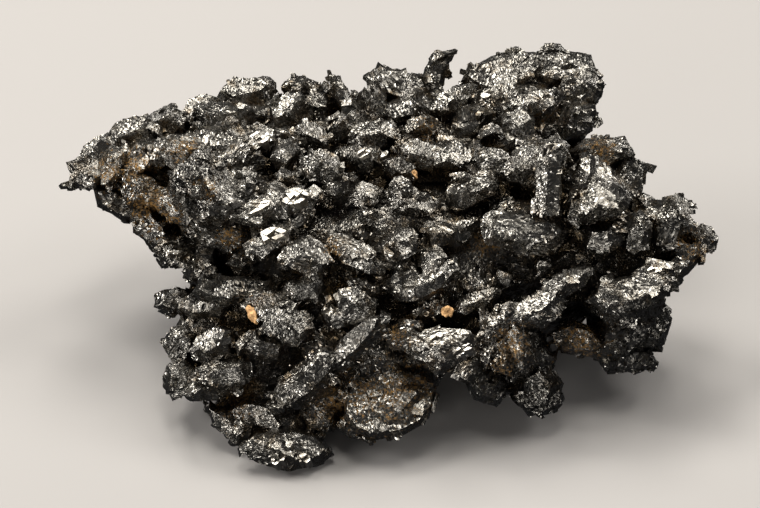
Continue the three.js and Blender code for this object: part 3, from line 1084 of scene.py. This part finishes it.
# %% Ramps, layers and patches
def ramp(tree, along, dark, light, ends=(0.0, 1.0)):
    """Returns a colour that goes from dark to light."""
    node = add_node(tree, "ShaderNodeValToRGB", _0=along)
    for stop, colour, end in zip(node.color_ramp.elements, (dark, light), ends):
        stop.position = end
        stop.color = (*colour, 1)
    return node.outputs[0]


def laid_over(tree, mask, under, over):
    """Returns the colour under, or the colour over where the mask is 1."""
    mix = add_node(tree, "ShaderNodeMix", {"data_type": "RGBA"}, _0=mask, _6=under, _7=over)
    return mix.outputs[2]


def patches_of(tree, place, spots):
    """Returns the mask of all the spots together."""
    total = None
    for centre, radius in spots:
        mask = add_node(
            tree,
            "ShaderNodeGroup",
            {"node_tree": stain},
            Place=place,
            Centre=[c * MM for c in centre],
            Radius=radius * MM,
        ).outputs["Mask"]
        if total is None:
            total = mask
            continue
        total = add_node(
            tree, "ShaderNodeMath", {"operation": "MAXIMUM"}, _0=total, _1=mask
        ).outputs[0]
    return total


# %% Mix the finish
# Painted shade for the hollows, a real film of rust, and painted shade for the dark patches.
PAINTED_HOLLOW_SHADE, RUST_FILM, PAINTED_SHADE_BLACK = (0.022, 0.016, 0.01, 1), (0.11, 0.078, 0.042, 1), (0.014, 0.013, 0.012, 1)
DARK_EARTH, LIGHT_EARTH = (0.03, 0.02, 0.008), (0.36, 0.195, 0.05)
STAINED_METALLIC, STAINED_ROUGHNESS, DARK_CELL_ROUGHER = 0.25, 0.8, 0.16


def stephanite_finish(name, cells_per_metre, turn, roughness, darkest, lightest):
    finish = bpy.data.materials.new(name)
    finish.use_nodes = True
    tree = finish.node_tree
    metal = tree.nodes["Principled BSDF"]
    place = add_node(tree, "ShaderNodeTexCoord").outputs["Object"]
    hollow = add_node(tree, "ShaderNodeAttribute", {"attribute_name": "hollow"}).outputs["Fac"]
    sparkle = add_node(
        tree,
        "ShaderNodeGroup",
        {"node_tree": facets},
        Place=place,
        Cells_per_metre=cells_per_metre,
        Turn=turn,
    )
    cell_tone = sparkle.outputs["Cell tone"]
    # Painted shade: the deeper the hollow, the more the colour turns near-black.
    painted_hollow_shade = add_node(
        tree,
        "ShaderNodeMapRange",
        Value=hollow,
        From_Min=0.25,
        From_Max=0.85,
        To_Min=0.0,
        To_Max=0.85,
    )
    film = add_node(tree, "ShaderNodeGroup", {"node_tree": rust}, Place=place, Hollow=hollow)
    # Near-black patches of painted shade, then the real iron stains.
    painted_shade_patches = patches_of(tree, place, PAINTED_SHADE_PATCHES)
    stains = patches_of(tree, place, SPOTS)
    colour = ramp(
        tree,
        cell_tone,
        (darkest, darkest * 0.93, darkest * 0.82),
        (lightest, lightest * 0.96, lightest * 0.88),
    )
    colour = laid_over(tree, painted_hollow_shade.outputs[0], colour, PAINTED_HOLLOW_SHADE)
    colour = laid_over(tree, film.outputs["Mask"], colour, RUST_FILM)
    colour = laid_over(tree, painted_shade_patches, colour, PAINTED_SHADE_BLACK)
    colour = laid_over(tree, stains, colour, ramp(tree, cell_tone, DARK_EARTH, LIGHT_EARTH))
    metallic = add_node(
        tree, "ShaderNodeMapRange", Value=stains, To_Min=1.0, To_Max=STAINED_METALLIC
    )
    satin = add_node(
        tree,
        "ShaderNodeMapRange",
        Value=cell_tone,
        To_Min=roughness + DARK_CELL_ROUGHER,
        To_Max=roughness,
    )
    rough = add_node(
        tree,
        "ShaderNodeMapRange",
        Value=stains,
        To_Min=satin.outputs[0],
        To_Max=STAINED_ROUGHNESS,
    )
    tree.links.new(sparkle.outputs["Normal"], metal.inputs["Normal"])
    tree.links.new(colour, metal.inputs["Base Color"])
    tree.links.new(metallic.outputs[0], metal.inputs["Metallic"])
    tree.links.new(rough.outputs[0], metal.inputs["Roughness"])
    print(name, "has", len(tree.nodes), "nodes")
    return finish


# %% Give each piece its finish
skin_finish = stephanite_finish(
    "stephanite_skin", cells_per_metre=10000, turn=0.7, roughness=0.22, darkest=0.05, lightest=0.4
)
crystal_finish = stephanite_finish(
    "stephanite_crystals",
    cells_per_metre=10000,
    turn=0.56,
    roughness=0.22,
    darkest=0.05,
    lightest=0.4,
)
clean_finish = stephanite_finish(
    "stephanite_clean", cells_per_metre=4000, turn=0.16, roughness=0.28, darkest=0.38, lightest=0.68
)
rock.data.materials.append(skin_finish)
flats.data.materials.append(clean_finish)
for crop in crops:
    crop.data.materials.clear()
    crop.data.materials.append(crystal_finish)

# %% [markdown]
# ## The ochre finish
# The grains are earthy and matt, and mottled from dark to light brown by noise.

# %% Mix the ochre
ochre = bpy.data.materials.new("ochre_earth")
ochre.use_nodes = True
tree = ochre.node_tree
earth = tree.nodes["Principled BSDF"]
place = add_node(tree, "ShaderNodeTexCoord").outputs["Object"]
mottle = add_node(tree, "ShaderNodeTexNoise", Vector=place, Scale=2200, Detail=4).outputs[0]
tints = ramp(tree, mottle, (0.2, 0.1, 0.028), (0.8, 0.48, 0.22), ends=(0.3, 0.64))
tree.links.new(tints, earth.inputs["Base Color"])
earth.inputs["Roughness"].default_value = 0.8
for grain in grains.values():
    grain.data.materials.append(ochre)
print("ochre goes on", [grain.name for grain in grains.values()])

# %% [markdown]
# ## Seating the pieces
# Each piece rides on the specimen's one body and stands for the solid that it covers.

# %% Seat the pieces
for piece in [rock, flats, *crops]:
    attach(piece, "root")
    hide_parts("stephanite_cluster")
for node, grain in grains.items():
    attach(grain, "root")
    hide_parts(node)
print("seated", 2 + len(crops) + len(grains), "pieces")

# %% [markdown]
# ## The floor and the light
# Metal shows its room more than itself, so a ring of soft lamps stands around the specimen. The
# strongest are behind and above: they rake over the plates, so that the upper faces flash and
# the undersides fall into black. Weak ones near the floor open the shadows on every side. The
# floor is a matt paper that the metal doesn't mirror, or it would wash the black out.

# %% Floor
ground = bmesh.new()
FLOOR_HALF_WIDTH, FLOOR_DROP = 3.0, 0.2 * MM
bmesh.ops.create_grid(ground, x_segments=1, y_segments=1, size=FLOOR_HALF_WIDTH)
bmesh.ops.translate(ground, vec=(0, 0, -FLOOR_DROP), verts=ground.verts)
floor_mesh = bpy.data.meshes.new("floor")
ground.to_mesh(floor_mesh)
ground.free()
floor = new_object("floor", floor_mesh)
floor.visible_glossy = False
paper = bpy.data.materials.new("floor_paper")
paper.use_nodes = True
matt = paper.node_tree.nodes["Principled BSDF"]
matt.inputs["Base Color"].default_value = (0.42, 0.405, 0.395, 1)
matt.inputs["Roughness"].default_value = 0.9
floor_mesh.materials.append(paper)


# %% Lamps
LAMP_DISTANCE = 0.6
WARM, PALE = (1.0, 0.965, 0.9), (1.0, 0.97, 0.93)
LAMPS = [
    ("back_left_lamp", 240, 60, 0.18, 0.18, 1.7, WARM),
    ("back_lamp", 184, 60, 0.18, 0.18, 1.6, WARM),
    ("top_lamp", 180, 86, 0.18, 0.18, 1.1, WARM),
    ("back_right_lamp", 122, 58, 0.18, 0.18, 0.9, WARM),
    ("left_lamp", 272, 32, 0.2, 0.18, 1.5, PALE),
    ("right_lamp", 98, 42, 0.2, 0.18, 0.8, PALE),
    ("low_front_left_lamp", 312, 8, 0.2, 0.12, 1.2, PALE),
    ("low_front_lamp", 350, 4, 0.2, 0.08, 0.7, PALE),
    ("low_back_left_lamp", 215, 6, 0.2, 0.1, 0.5, PALE),
    ("low_back_right_lamp", 145, 6, 0.2, 0.1, 0.5, PALE),
]
for name, azimuth, elevation, width, height, power, tint in LAMPS:
    light = bpy.data.lights.new(name, "AREA")
    light.shape = "RECTANGLE"
    light.size, light.size_y = width, height
    light.energy = power
    light.color = tint
    item = bpy.data.objects.new(name, light)
    bpy.context.scene.collection.objects.link(item)
    around, up = math.radians(azimuth), math.radians(elevation)
    way = Vector(
        (math.sin(around) * math.cos(up), -math.cos(around) * math.cos(up), math.sin(up))
    )
    item.location = looked_at + way * LAMP_DISTANCE
    item.rotation_euler = way.to_track_quat("Z", "Y").to_euler()
print(len(LAMPS), "lamps")

# %% The dim room
world = bpy.data.worlds.new("room")
world.use_nodes = True
world.node_tree.nodes["Background"].inputs[0].default_value = (0.03, 0.03, 0.032, 1)
bpy.context.scene.world = world
bpy.context.scene.view_settings.view_transform = "Standard"
